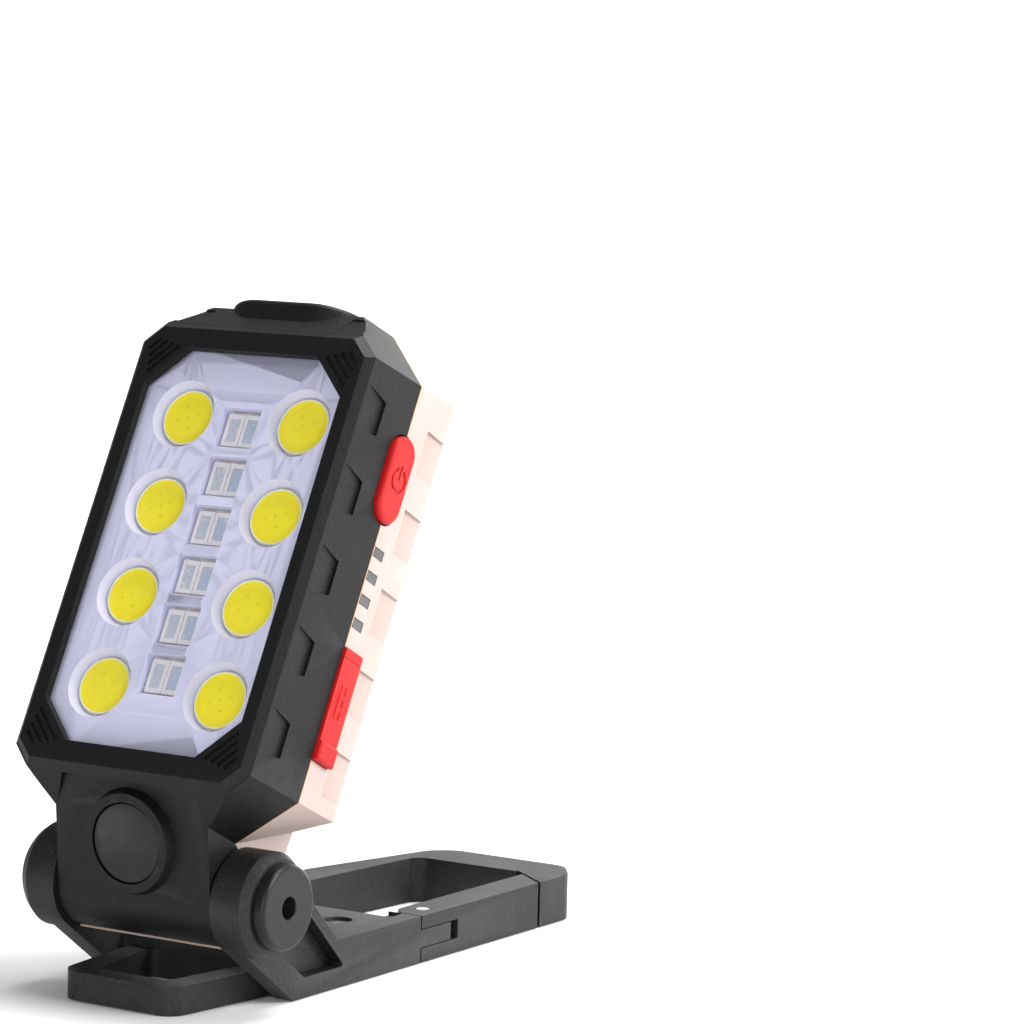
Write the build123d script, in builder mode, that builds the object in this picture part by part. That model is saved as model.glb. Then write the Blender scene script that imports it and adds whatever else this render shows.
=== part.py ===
"""Folding rechargeable work light: lamp head on a hinged foot with a snap hook.

Millimetres, +Z up, +X towards the power button, +Y from the hinge to the hook.
The origin is on the underside of the foot, midway between the two magnets.
"""
from build123d import *
from math import cos, radians, sin, tan
import os

# ---- Fits and clearances ----
running = 0.05  # shaft in a bearing, per side
loose = 0.15  # piece dropped into a pocket, per side
free = 0.3  # moving face beside a fixed face
fold_gap = 0.05  # cut line between the flap and its anchor

# ---- Foot ----
foot_w = 35.0
foot_h = 7.2
deck_h = 6.6
deck_front = -25.0
rail_w = 5.9
hook_back = 55.8
hook_bar = 8.8
hook_corner = 4.0
hook_inner_corner = 2.5
nose_l = 5.6
nose_w = 4.2
tail_l = 3.0
tail_w = 9.5
taper_l = 28.8
taper_w = 6.2
magnet_spacing = 15.0
magnet_r = 6.0
magnet_h = 5.8
magnet_wall = 0.5
magnet_lift = 0.3
magnet_window_r = 2.2
magnet_chamfer = 0.3
loop_h = 4.2
loop_front = -44.8
loop_front_w = 20.5
loop_back_w = 25.4
loop_rim = 3.8
loop_corner = 3.5
loop_inner_corner = 1.5

# ---- Snap hook gate ----
gate_gap = 1.5  # from the deck's rear edge to the gate
gate_stop = 14.4  # from the gate's outer end to the back of the hook
gate_slant = 0.745  # extra gate length at the inner side, per mm of width
tongue_reach = 8.2
tongue_corner = 0.3
tongue_h = 2.7
tongue_low = 2.3
gate_pin_in = 3.0
gate_pin_along = 4.6
gate_pin_r = 1.0
gate_pin_floor = 0.2
spring_r = 1.9
spring_wire = 0.5
spring_turns = 4
spring_pitch = 0.45
spring_foot = 0.5

# ---- Hinge ----
hinge_y = -34.0
hinge_z = 15.7
tilt_at_rest = 63.3
washer_t = 0.4
washer_r = 5.0
arm_t = 3.3
ear_r = 7.8
ear_t = 5.1
ear_shoulder = 1.3
cap_r = 6.3
left_cap_t = 0.9
right_cap_t = 2.0
cap_edge = 0.7
cap_land = 0.6
cap_hole_r = 1.65
cap_spigot = 0.5
bolt_r = 1.5
bolt_end_gap = 0.6
bolt_head_r = 2.75
bolt_head_h = 2.4
key_depth = 1.4
counterbore_r = 3.4
nut_flats = 5.5
hex_key = 2.5
bush_r = 2.5
bush_len = 6.0
arm_front_slope = 35.5
arm_rear_slope = 45.0
arm_toe = 2.0
arm_pocket_depth = 2.4
arm_front_rib = 4.0
arm_rear_rib = 1.6
arm_ledge = 3.0
arm_ear_gap = 0.6

# ---- Lamp head, front half ----
seam_n = 4.93
bevel_n = 16.26
face_n = 17.4
head_w = 44.84  # across the seam, the widest line of the head
bevel_in = 1.19  # bevel edge, face edge and window edge, inside the seam
face_in = 2.42
window_in = 4.82
head_top = 86.95
top_corner = 7.6
crest_n = 11.9
slope_drop = 4.71  # top slope, bevel and face edges, below the top
bevel_drop = 4.75
face_drop = 5.85
face_low = 12.4
bevel_low = 11.3
face_corner = 2.7
bevel_corner = 3.3
side_low = 14.3
shoulder_low = 7.0
chin_v = 6.9
chin_n = 12.0
neck_slope = 31.0
barrel_r = 7.0
chin_recess_depth = 6.0
chin_recess_top = 0.3
chin_recess_in = 2.2
chin_recess_out = 0.4
neck_seam_n = -1.5
neck_seam_v = 4.0
tube_r = 4.2

# ---- Lamp head, rear half ----
rear_edge = 2.5
rear_in = 0.42
rear_corner = 6.4
rear_side_low = 14.7
rear_shoulder_low = 11.8
rear_floor = 1.5
cover_r = 7.3

# ---- Window stack ----
window_low = 15.8
window_drop = 3.3  # window top, below the face's top edge
window_corner = 6.0
window_draft = 12.0
seat_rim = 1.3
lens_t = 1.0
lens_n = 16.35
reflector_t = 2.0
board_t = 1.0
cob_r = 4.4
cob_t = 0.75
cob_in = 7.1  # lamp column, inside the window's edge
cob_first = 25.35
cob_pitch = 14.25
cob_rows = 4
well_top_r = 5.4
smd_w = 3.0
smd_l = 5.7
smd_t = 0.9
smd_gap = 0.1
smd_well_w = 2.1
smd_well_l = 3.5
smd_well_depth = 0.25
smd_first = 27.7
smd_pitch = 7.78
smd_rows = 6
smd_window_w = 6.9
smd_window_l = 6.3
smd_window_corner = 0.4

# ---- Outer surface details ----
grip_count = 5
grip_first = 21.3
grip_pitch = 12.48
grip_depth = 0.5
grip_inner = 5.2
grip_outer = 7.1
grip_n = 11.35
rear_grip_first = 20.7
rear_grip_pitch = 12.55
rear_grip_l = 7.0
rear_grip_n = -0.2
rear_grip_depth = 0.4
ridge_count = 4
ridge_gap = 2.2
ridge_pitch = 1.55
ridge_l = 6.4
ridge_step = 1.3
ridge_w = 0.7
ridge_depth = 0.35
badge_r = 5.9
badge_ring_r = 7.9
badge_ring_h = 1.5
badge_ring_draft = 20.0
badge_sunk = 0.2
badge_v = 3.8
badge_t = 1.1
top_panel_w = 5.0
top_panel_gap = 0.4
top_panel_margin = 1.0
top_panel_corner = 0.6
top_panel_depth = 0.3

# ---- Torch end ----
torch_n = 5.0
boss_w = 24.0
boss_d = 18.0
boss_corner = 7.0
boss_h = 1.15
boss_root = 2.45
boss_edge = 1.0
torch_cup_r = 7.2
torch_cup_l = 10.9
torch_rim_sunk = 0.2
torch_bore_r = 6.2
torch_lens_t = 1.3
torch_lens_sunk = 0.8
torch_board_t = 1.0
torch_floor = 0.8
torch_led_w = 2.8
torch_led_t = 0.5
torch_dome_r = 1.2
torch_dome_h = 0.6
torch_cone_r = 2.4
torch_cone_wall = 0.6

# ---- Battery and electronics ----
cell_r = 9.15
cell_l = 65.0
cell_edge = 0.6
cell_gap = 0.1
cell_pad = 0.2
cell_x = -3.0
cell_low = 11.6
control_in = 4.45
control_t = 1.2
control_low = 20.0
control_high = 72.0
control_rear_gap = 1.3
control_front_gap = 1.35
button_v = 64.35
button_n = 4.9
button_l = 13.5
button_w = 5.8
button_travel = 0.5
button_proud = 0.78
button_edge = 0.7
button_flange = 1.0
button_flange_t = 0.9
sign_r = 1.9
sign_line = 0.45
sign_gap = 1.3
sign_bar = 2.2
sign_depth = 0.25
switch_w = 6.0
switch_h = 1.6
switch_floor = 0.3
plunger_r = 1.6
plunger_gap = 0.1
charge_first = 42.2
charge_pitch = 3.7
charge_count = 4
charge_l = 1.6
charge_w = 2.9
charge_n = 3.3
charge_gap = 0.05
charge_bar_t = 1.0
charge_bar_rim = 0.5
charge_proud = 0.2
indicator_l = 0.8
indicator_w = 1.6
indicator_t = 0.6
port_v = 27.5
port_n = 2.7
socket_l = 7.6
socket_w = 3.0
socket_corner = 0.8
socket_wall = 0.4
socket_floor = 1.0
socket_sunk = 0.6
tongue_plate_l = 4.6
tongue_plate_t = 0.6
port_l = 8.8
port_w = 4.0
port_corner = 1.0
flap_low = 21.0
flap_high = 38.2
flap_w = 4.6
flap_sunk = 1.02
flap_proud = 0.48
flap_corner = 0.3
flap_tab_l = 3.0
flap_tab_proud = 1.08
flap_tab_edge = 0.5
anchor_l = 1.4
plug_l = 6.8
plug_w = 2.4
plug_corner = 0.8
plug_depth = 0.5
anchor_peg_r = 0.9
dc_bar = 5.0
dc_dash = 1.2
dc_dash_pitch = 1.9
dc_half_gap = 0.6
dc_height = 0.15
screw_r = 1.2
screw_pilot_r = 1.15
screw_head_r = 1.9
screw_head_h = 1.6
screw_sunk = 0.4
screw_reach = 5.0
screw_slot_l = 2.2
screw_slot_w = 0.5
screw_slot_depth = 0.8
top_screw_in = 7.02
top_screw_drop = 6.95
neck_screw_in = 4.2
neck_screw_v = 6.3

# ---- Derived places ----
half_foot = foot_w / 2
arm_in = half_foot - arm_t
half_neck = arm_in - washer_t
ear_out = arm_in + ear_t + ear_shoulder
rail_in = half_foot - rail_w
deck_back = magnet_r + magnet_wall
nose_start = hook_back - nose_l
taper_start = hook_back - taper_l
gate_start = deck_back + gate_gap
gate_end = hook_back - gate_stop
gate_pin_x = half_foot - gate_pin_in
gate_pin_y = gate_start + gate_pin_along
seam_half_w = head_w / 2
bevel_half_w = seam_half_w - bevel_in
face_half_w = seam_half_w - face_in
rear_half_w = seam_half_w - rear_in
window_half_w = seam_half_w - window_in
slope_foot = head_top - slope_drop
bevel_high = head_top - bevel_drop
face_high = head_top - face_drop
window_high = face_high - window_drop
side_wall = window_half_w + seat_rim + loose
reflector_n = lens_n - lens_t
board_n = reflector_n - reflector_t
stack_back = board_n - board_t
cell_n = stack_back - cell_pad - cell_r
cell_seat = cell_low - loose
rear_inside = cell_n - cell_r - loose
rear_n = rear_inside - rear_floor
cob_x = window_half_w - cob_in
smd_x = (smd_w + smd_gap) / 2
torch_top = head_top + boss_h
torch_seat = head_top - boss_root
torch_rim = torch_top - torch_rim_sunk
torch_cup_low = torch_rim - torch_cup_l
torch_lens_top = torch_top - torch_lens_sunk
control_x = side_wall - control_in
control_face = control_x + control_t
control_rear = rear_inside + control_rear_gap
control_front = stack_back - control_front_gap
button_out = seam_half_w + button_proud
flange_x = side_wall - fold_gap
flap_n = seam_n - flap_w / 2
fold_v = flap_high - anchor_l
flap_floor = seam_half_w - flap_sunk
flap_out = seam_half_w + flap_proud
flap_tab_out = seam_half_w + flap_tab_proud
flap_back = flap_floor + fold_gap
socket_reach = flap_floor - socket_sunk
top_screw_x = seam_half_w - top_screw_in
top_screw_v = head_top - top_screw_drop
neck_screw_x = half_neck - neck_screw_in
tilt = radians(tilt_at_rest)
up_head = (0, cos(tilt), sin(tilt))
out_head = (0, -sin(tilt), cos(tilt))
pivot = (0, hinge_y, hinge_z)

# Lens plane through the pivot: local x is +X, local y runs up the head, offset is depth.
lens_plane = Plane(origin=pivot, x_dir=(1, 0, 0), z_dir=out_head)
# Side plane through the pivot: local x runs up the head, local y is depth, offset is +X.
side_plane = Plane(origin=pivot, x_dir=up_head, z_dir=(1, 0, 0))
# Cross plane through the pivot: local x is depth, local y is +X, offset runs up the head.
cross_plane = Plane(origin=pivot, x_dir=out_head, z_dir=up_head)
# Upright plane through the pivot, square to the hinge: local x is +Y, local y is +Z.
arm_plane = Plane(origin=pivot, x_dir=(0, 1, 0), z_dir=(1, 0, 0))
# Sloping front face of the neck, tangent to the barrel.
neck_tilt = radians(neck_slope)
neck_origin = side_plane.from_local_coords((0, barrel_r / cos(neck_tilt), 0))
neck_normal = Vector(*out_head) * cos(neck_tilt) - Vector(*up_head) * sin(neck_tilt)
neck_plane = Plane(origin=neck_origin, x_dir=(1, 0, 0), z_dir=neck_normal)


def both_sides(points):
    """Mirror a right-hand outline, listed from bottom to top, into a closed one."""
    return points + [(-x, y) for x, y in reversed(points)]


def window_outline(rim):
    """Add the eight-sided window, grown by a rim, to the sketch being built."""
    low, high, half = window_low, window_high, window_half_w
    right = [
        (half - window_corner, low),
        (half, low + window_corner),
        (half, high - window_corner),
        (half - window_corner, high),
    ]
    Polygon(*both_sides(right), align=None)
    if rim:
        offset(amount=rim, kind=Kind.INTERSECTION)


def save(piece, name):
    """Label one finished piece and write it out."""
    piece.part.label = name
    export_step(piece.part, f"parts/{name}.step")


os.makedirs("parts", exist_ok=True)

# ---- Outer form of the head's front half ----
seam_right = [
    (half_neck, shoulder_low),
    (seam_half_w, side_low),
    (seam_half_w, head_top - top_corner),
    (seam_half_w - top_corner, head_top),
]
bevel_right = [
    (half_neck, shoulder_low),
    (bevel_half_w, side_low),
    (bevel_half_w, bevel_high - bevel_corner),
    (bevel_half_w - bevel_corner - head_top + bevel_high, head_top),
]
bezel_right = [
    (bevel_half_w - bevel_corner, bevel_low),
    (bevel_half_w, bevel_low + bevel_corner),
    (bevel_half_w, bevel_high - bevel_corner),
    (bevel_half_w - bevel_corner, bevel_high),
]
face_right = [
    (face_half_w - face_corner, face_low),
    (face_half_w, face_low + face_corner),
    (face_half_w, face_high - face_corner),
    (face_half_w - face_corner, face_high),
]
front_profile = [
    (shoulder_low - 1, seam_n),
    (head_top, seam_n),
    (head_top, crest_n),
    (slope_foot, bevel_n),
    (bevel_low, bevel_n),
    (chin_v, chin_n),
    (shoulder_low - 1, chin_n),
]
neck_front = [
    (neck_seam_v, neck_seam_n),
    (shoulder_low, seam_n),
    (shoulder_low + 1, seam_n),
    (shoulder_low + 1, barrel_r / cos(neck_tilt) + (shoulder_low + 1) * tan(neck_tilt)),
    (-barrel_r * sin(neck_tilt), barrel_r * cos(neck_tilt)),
    (0, 0),
    (0, neck_seam_n),
]

behind_seam = [
    (neck_seam_v, neck_seam_n),
    (shoulder_low, seam_n),
    (shoulder_low + 1, seam_n),
    (shoulder_low + 1, neck_seam_n),
]

with BuildPart() as front_shell:
    with BuildSketch(lens_plane.offset(seam_n)):
        Polygon(*both_sides(seam_right), align=None)
    with BuildSketch(lens_plane.offset(bevel_n)):
        Polygon(*both_sides(bevel_right), align=None)
    loft()
    with BuildSketch(side_plane):
        Polygon(*front_profile, align=None)
    extrude(amount=seam_half_w, both=True, mode=Mode.INTERSECT)
    # Bevelled rim around the front face
    with BuildSketch(lens_plane.offset(bevel_n)):
        Polygon(*both_sides(bezel_right), align=None)
    with BuildSketch(lens_plane.offset(face_n)):
        Polygon(*both_sides(face_right), align=None)
    loft()
    # Neck: sloping face, barrel and the tube that carries the hinge bushes
    with BuildSketch(side_plane):
        Polygon(*neck_front, align=None)
        with BuildSketch(mode=Mode.PRIVATE) as barrel:
            Circle(barrel_r)
            with Locations((0, neck_seam_n)):
                Rectangle(3 * barrel_r, 2 * barrel_r, align=(Align.CENTER, Align.MIN), mode=Mode.INTERSECT)
            Polygon(*behind_seam, align=None, mode=Mode.SUBTRACT)
        add(barrel.sketch)
        Circle(tube_r)
    extrude(amount=half_neck, both=True)
    # The neck's front face runs on upwards as a shallow recess in the chin
    with BuildSketch(neck_plane):
        recess_right = [
            (half_neck + chin_recess_out, (chin_v - 1) / cos(neck_tilt)),
            (half_neck - chin_recess_in, (bevel_low + chin_recess_top) / cos(neck_tilt)),
        ]
        Polygon(*both_sides(recess_right), align=None)
    extrude(amount=chin_recess_depth, mode=Mode.SUBTRACT)
    # Raised ring around the badge
    with BuildSketch(neck_plane):
        with Locations((0, badge_v / cos(neck_tilt))):
            Circle(badge_ring_r)
    extrude(amount=badge_ring_h, taper=badge_ring_draft)
    with BuildSketch(neck_plane.offset(badge_ring_h)):
        with Locations((0, badge_v / cos(neck_tilt))):
            Circle(badge_r + loose)
    extrude(amount=-badge_t - badge_sunk, mode=Mode.SUBTRACT)
    # Hinge bore with a bush seat at each end
    with BuildSketch(side_plane):
        Circle(bolt_r + free)
    extrude(amount=half_neck, both=True, mode=Mode.SUBTRACT)
    for side in (1, -1):
        with BuildSketch(side_plane.offset(side * half_neck)):
            Circle(bush_r)
        extrude(amount=-side * bush_len, mode=Mode.SUBTRACT)
    # Inside: seat for the window stack, and the window itself
    with BuildSketch(lens_plane.offset(seam_n)):
        window_outline(seat_rim + loose)
    extrude(amount=lens_n - seam_n, mode=Mode.SUBTRACT)
    with BuildSketch(lens_plane.offset(lens_n)):
        window_outline(0)
    extrude(amount=face_n - lens_n, taper=-window_draft, mode=Mode.SUBTRACT)
    # Grip recesses along both sides, open to the front
    for side in (1, -1):
        for step in range(grip_count):
            middle = grip_first + step * grip_pitch
            with BuildSketch(side_plane.offset(side * (seam_half_w + 1))) as grip:
                grip_points = [
                    (middle - grip_outer / 2, bevel_n + 2),
                    (middle - grip_outer / 2, bevel_n - 1),
                    (middle - grip_inner / 2, grip_n),
                    (middle + grip_inner / 2, grip_n),
                    (middle + grip_outer / 2, bevel_n - 1),
                    (middle + grip_outer / 2, bevel_n + 2),
                ]
                Polygon(*grip_points, align=None)
            lean = (seam_half_w - bevel_half_w) / (bevel_n - seam_n)
            grip_x = bevel_half_w + lean * (bevel_n - grip_n)
            extrude(amount=-side * (seam_half_w + 1 - grip_x + grip_depth), mode=Mode.SUBTRACT)
    # Short grooves across the four bezel corners, shorter towards the outside
    centre_v = (window_low + window_high) / 2
    half_run = (window_high - window_low) / 2
    for side in (1, -1):
        for end in (1, -1):
            for step in range(ridge_count):
                run = window_half_w + half_run - window_corner + ridge_gap + step * ridge_pitch
                line_x = (run + window_half_w - half_run) / 2
                with BuildSketch(lens_plane.offset(face_n)):
                    with Locations((side * line_x, centre_v + end * (run - line_x))):
                        Rectangle(ridge_l - ridge_step * step, ridge_w, rotation=-side * end * 45)
                extrude(amount=-ridge_depth, mode=Mode.SUBTRACT)
    # Smooth panels sunk into the top slope, either side of the torch
    slope_run = Vector(*up_head) * (head_top - slope_foot) + Vector(*out_head) * (crest_n - bevel_n)
    slope_mid = side_plane.from_local_coords(((head_top + slope_foot) / 2, (crest_n + bevel_n) / 2, 0))
    slope_plane = Plane(origin=slope_mid, x_dir=(1, 0, 0), z_dir=Vector(1, 0, 0).cross(slope_run))
    for side in (1, -1):
        with BuildSketch(slope_plane):
            with Locations((side * (boss_w / 2 + top_panel_gap + top_panel_w / 2), 0)):
                RectangleRounded(top_panel_w, slope_run.length - 2 * top_panel_margin, top_panel_corner)
        extrude(amount=-top_panel_depth, mode=Mode.SUBTRACT)

# ---- Outer form of the head's rear half ----
rear_right = [
    (half_neck, rear_shoulder_low),
    (rear_half_w, rear_side_low),
    (rear_half_w, head_top - rear_corner),
    (rear_half_w - rear_corner, head_top),
]
rear_face_right = [
    (half_neck, rear_shoulder_low + 1.2),
    (rear_half_w - rear_edge, rear_side_low + 1),
    (rear_half_w - rear_edge, head_top - rear_corner - 1),
    (rear_half_w - rear_corner - 1, head_top - rear_edge),
]
neck_rear = [
    (neck_seam_v, neck_seam_n),
    (shoulder_low, seam_n),
    (rear_shoulder_low + 2, seam_n),
    (rear_shoulder_low + 2, rear_n),
    (0, -cover_r),
    (0, neck_seam_n),
]

with BuildPart() as rear_shell:
    with BuildSketch(lens_plane.offset(seam_n)):
        Polygon(*both_sides(seam_right), align=None)
    with BuildSketch(lens_plane.offset(rear_n + rear_edge)):
        Polygon(*both_sides(rear_right), align=None)
    loft()
    with BuildSketch(lens_plane.offset(rear_n + rear_edge)):
        Polygon(*both_sides(rear_right), align=None)
    with BuildSketch(lens_plane.offset(rear_n)):
        Polygon(*both_sides(rear_face_right), align=None)
    loft()
    # Neck cover, rounded about the hinge
    with BuildSketch(side_plane):
        Polygon(*neck_rear, align=None)
        with BuildSketch(mode=Mode.PRIVATE) as cover:
            Circle(cover_r)
            with Locations((0, neck_seam_n)):
                Rectangle(3 * cover_r, 2 * cover_r, align=(Align.CENTER, Align.MAX), mode=Mode.INTERSECT)
        add(cover.sketch)
    extrude(amount=half_neck, both=True)
    # Room for the front shell's hinge tube
    with BuildSketch(side_plane):
        Circle(tube_r + loose)
    extrude(amount=half_neck, both=True, mode=Mode.SUBTRACT)
    # Inside
    with BuildSketch(lens_plane.offset(seam_n)):
        window_outline(seat_rim + loose)
    extrude(amount=rear_inside - seam_n, mode=Mode.SUBTRACT)
    # Shallow recesses along both sides, run out over the rear edge
    for side in (1, -1):
        for step in range(grip_count):
            middle = rear_grip_first + step * rear_grip_pitch
            with BuildSketch(side_plane.offset(side * (seam_half_w + 1))):
                with Locations((middle, rear_grip_n)):
                    depth_run = rear_grip_n - rear_n
                    Rectangle(rear_grip_l, depth_run, align=(Align.CENTER, Align.MAX))
            extrude(amount=-side * (seam_half_w + 1 - rear_half_w + rear_grip_depth), mode=Mode.SUBTRACT)

# ---- Cuts that both halves share ----
with BuildPart() as power_hole:
    with BuildSketch(side_plane.offset(side_wall - 1)):
        with Locations((button_v, button_n)):
            SlotOverall(button_l + 2 * free, button_w + 2 * free)
    extrude(amount=seam_half_w)

with BuildPart() as torch_hole:
    with BuildSketch(cross_plane.offset(torch_cup_low - loose)):
        with Locations((torch_n, 0)):
            Circle(torch_cup_r + loose)
    extrude(amount=torch_top + 1 - torch_cup_low)

with BuildPart() as cell_hole:
    with BuildSketch(cross_plane.offset(cell_seat)):
        with Locations((cell_n, cell_x)):
            Circle(cell_r + cell_gap)
    extrude(amount=cell_l + 2 * loose)

with BuildPart() as flap_hole:
    with BuildSketch(side_plane.offset(flap_floor)):
        with Locations(((flap_low + flap_high) / 2, flap_n)):
            RectangleRounded(flap_high - flap_low + 2 * loose, flap_w + 2 * loose, flap_corner)
    extrude(amount=3)
    with BuildSketch(side_plane.offset(side_wall - 1)):
        with Locations((port_v, port_n)):
            RectangleRounded(port_l, port_w, port_corner)
    extrude(amount=4)
    with BuildSketch(side_plane.offset(side_wall - 1)):
        with Locations((fold_v + anchor_l / 2, flap_n)):
            Circle(anchor_peg_r)
    extrude(amount=4)

with BuildPart() as charge_hole:
    with BuildSketch(side_plane.offset(side_wall - 1)):
        for step in range(charge_count):
            with Locations((charge_first + step * charge_pitch, charge_n)):
                Rectangle(charge_l, charge_w)
    extrude(amount=5)

screw_spots = [
    (top_screw_x, top_screw_v),
    (-top_screw_x, top_screw_v),
    (neck_screw_x, neck_screw_v),
    (-neck_screw_x, neck_screw_v),
]
with BuildPart() as screw_hole:
    with BuildSketch(lens_plane.offset(rear_n)):
        with Locations(*screw_spots):
            Circle(screw_head_r + loose)
    extrude(amount=screw_head_h + screw_sunk)
    with BuildSketch(lens_plane.offset(rear_n)):
        with Locations(*screw_spots):
            Circle(screw_r + loose)
    extrude(amount=seam_n - rear_n)

with BuildPart() as pilot_hole:
    with BuildSketch(lens_plane.offset(neck_seam_n - 2)):
        with Locations(*screw_spots):
            Circle(screw_pilot_r)
    extrude(amount=screw_reach + seam_n - neck_seam_n + 2)

# ---- Raised boss round the torch, split along the seam ----
boss_halves = []
for half in (Keep.TOP, Keep.BOTTOM):
    with BuildPart() as torch_boss:
        with BuildSketch(cross_plane.offset(torch_seat)):
            with Locations((torch_n, 0)):
                RectangleRounded(boss_d, boss_w, boss_corner)
        extrude(amount=torch_top - torch_seat)
        fillet(torch_boss.faces().sort_by(Axis(pivot, up_head))[-1].edges(), radius=boss_edge)
        split(bisect_by=lens_plane.offset(seam_n), keep=half)
    boss_halves.append(torch_boss.part)

for shell, boss, holes in (
    (front_shell, boss_halves[0], (power_hole, torch_hole, cell_hole, flap_hole, pilot_hole)),
    (rear_shell, boss_halves[1], (power_hole, torch_hole, cell_hole, flap_hole, charge_hole, screw_hole)),
):
    with shell:
        add(boss)
        for hole in holes:
            add(hole.part, mode=Mode.SUBTRACT)

save(front_shell, "front_shell")
save(rear_shell, "rear_shell")

# ---- Window stack: lens, reflector panel, board and lamps ----
with BuildPart() as lens_cover:
    with BuildSketch(lens_plane.offset(reflector_n)):
        window_outline(seat_rim)
    extrude(amount=lens_t)
save(lens_cover, "lens_cover")

cob_spots = [
    (side * cob_x, cob_first + row * cob_pitch) for side in (1, -1) for row in range(cob_rows)
]
smd_rows_v = [smd_first + row * smd_pitch for row in range(smd_rows)]

with BuildPart() as reflector_panel:
    with BuildSketch(lens_plane.offset(board_n)):
        window_outline(seat_rim)
    extrude(amount=reflector_t)
    for spot in cob_spots:
        with BuildSketch(lens_plane.offset(reflector_n)):
            with Locations(spot):
                Circle(well_top_r)
        with BuildSketch(lens_plane.offset(board_n)):
            with Locations(spot):
                Circle(cob_r + loose)
        loft(mode=Mode.SUBTRACT)
    with BuildSketch(lens_plane.offset(board_n)):
        with Locations(*[(0, v) for v in smd_rows_v]):
            RectangleRounded(smd_window_w, smd_window_l, smd_window_corner)
    extrude(amount=reflector_t, mode=Mode.SUBTRACT)
save(reflector_panel, "reflector_panel")

with BuildPart() as led_board:
    with BuildSketch(lens_plane.offset(stack_back)):
        window_outline(seat_rim)
    extrude(amount=board_t)
save(led_board, "led_board")

with BuildPart() as cob_leds:
    with BuildSketch(lens_plane.offset(board_n)):
        with Locations(*cob_spots):
            Circle(cob_r)
    extrude(amount=cob_t)
save(cob_leds, "cob_leds")

for name, side in (("red_leds", -1), ("blue_leds", 1)):
    with BuildPart() as colour_leds:
        with BuildSketch(lens_plane.offset(board_n)):
            with Locations(*[(side * smd_x, v) for v in smd_rows_v]):
                Rectangle(smd_w, smd_l)
        extrude(amount=smd_t)
        with BuildSketch(lens_plane.offset(board_n + smd_t)):
            with Locations(*[(side * smd_x, v) for v in smd_rows_v]):
                RectangleRounded(smd_well_w, smd_well_l, smd_gap)
        extrude(amount=-smd_well_depth, mode=Mode.SUBTRACT)
    save(colour_leds, name)

# ---- Torch end ----
torch_lens_low = torch_lens_top - torch_lens_t
with BuildPart() as torch_housing:
    with BuildSketch(cross_plane.offset(torch_cup_low)):
        with Locations((torch_n, 0)):
            Circle(torch_cup_r)
    extrude(amount=torch_cup_l)
    with BuildSketch(cross_plane.offset(torch_cup_low + torch_floor)):
        with Locations((torch_n, 0)):
            Circle(torch_bore_r)
    extrude(amount=torch_cup_l, mode=Mode.SUBTRACT)
    chamfer(torch_housing.faces().sort_by(Axis(pivot, up_head))[-1].edges(), length=torch_rim_sunk)
save(torch_housing, "torch_housing")

torch_board_low = torch_cup_low + torch_floor
with BuildPart() as torch_board:
    with BuildSketch(cross_plane.offset(torch_board_low)):
        with Locations((torch_n, 0)):
            Circle(torch_bore_r - loose)
    extrude(amount=torch_board_t)
save(torch_board, "torch_board")

with BuildPart() as torch_led:
    with BuildSketch(cross_plane.offset(torch_board_low + torch_board_t)):
        with Locations((torch_n, 0)):
            Rectangle(torch_led_w, torch_led_w)
    extrude(amount=torch_led_t)
    with BuildSketch(cross_plane.offset(torch_board_low + torch_board_t + torch_led_t)):
        with Locations((torch_n, 0)):
            Circle(torch_dome_r)
    extrude(amount=torch_dome_h, taper=30)
save(torch_led, "torch_led")

with BuildPart() as torch_reflector:
    cone_low = torch_board_low + torch_board_t
    with BuildSketch(cross_plane.offset(cone_low)):
        with Locations((torch_n, 0)):
            Circle(torch_bore_r - loose)
    extrude(amount=torch_lens_low - cone_low)
    with BuildSketch(cross_plane.offset(cone_low)):
        with Locations((torch_n, 0)):
            Circle(torch_cone_r)
    with BuildSketch(cross_plane.offset(torch_lens_low)):
        with Locations((torch_n, 0)):
            Circle(torch_bore_r - loose - torch_cone_wall)
    loft(mode=Mode.SUBTRACT)
save(torch_reflector, "torch_reflector")

with BuildPart() as torch_lens:
    with BuildSketch(cross_plane.offset(torch_lens_low)):
        with Locations((torch_n, 0)):
            Circle(torch_bore_r - loose)
    extrude(amount=torch_lens_t)
save(torch_lens, "torch_lens")

# ---- Battery ----
with BuildPart() as battery_cell:
    with BuildSketch(cross_plane.offset(cell_low)):
        with Locations((cell_n, cell_x)):
            Circle(cell_r)
    extrude(amount=cell_l)
    fillet(battery_cell.edges().filter_by(GeomType.CIRCLE), radius=cell_edge)
save(battery_cell, "battery_cell")

# ---- Control board and what sits on it ----
with BuildPart() as control_board:
    with BuildSketch(side_plane.offset(control_x)):
        with Locations(((control_low + control_high) / 2, (control_rear + control_front) / 2)):
            Rectangle(control_high - control_low, control_front - control_rear)
    extrude(amount=control_t)
save(control_board, "control_board")

with BuildPart() as tact_switch:
    with BuildSketch(side_plane.offset(control_face)):
        with Locations((button_v, button_n)):
            Rectangle(switch_w, switch_w)
    extrude(amount=switch_h)
    with BuildSketch(side_plane.offset(control_face + switch_h)):
        with Locations((button_v, button_n)):
            Circle(plunger_r + loose)
    extrude(amount=switch_floor - switch_h, mode=Mode.SUBTRACT)
save(tact_switch, "tact_switch")

button_back = flange_x - button_flange_t
with BuildPart() as switch_plunger:
    plunger_low = control_face + switch_floor + button_travel + plunger_gap
    with BuildSketch(side_plane.offset(plunger_low)):
        with Locations((button_v, button_n)):
            Circle(plunger_r)
    extrude(amount=button_back - plunger_low)
save(switch_plunger, "switch_plunger")

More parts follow.
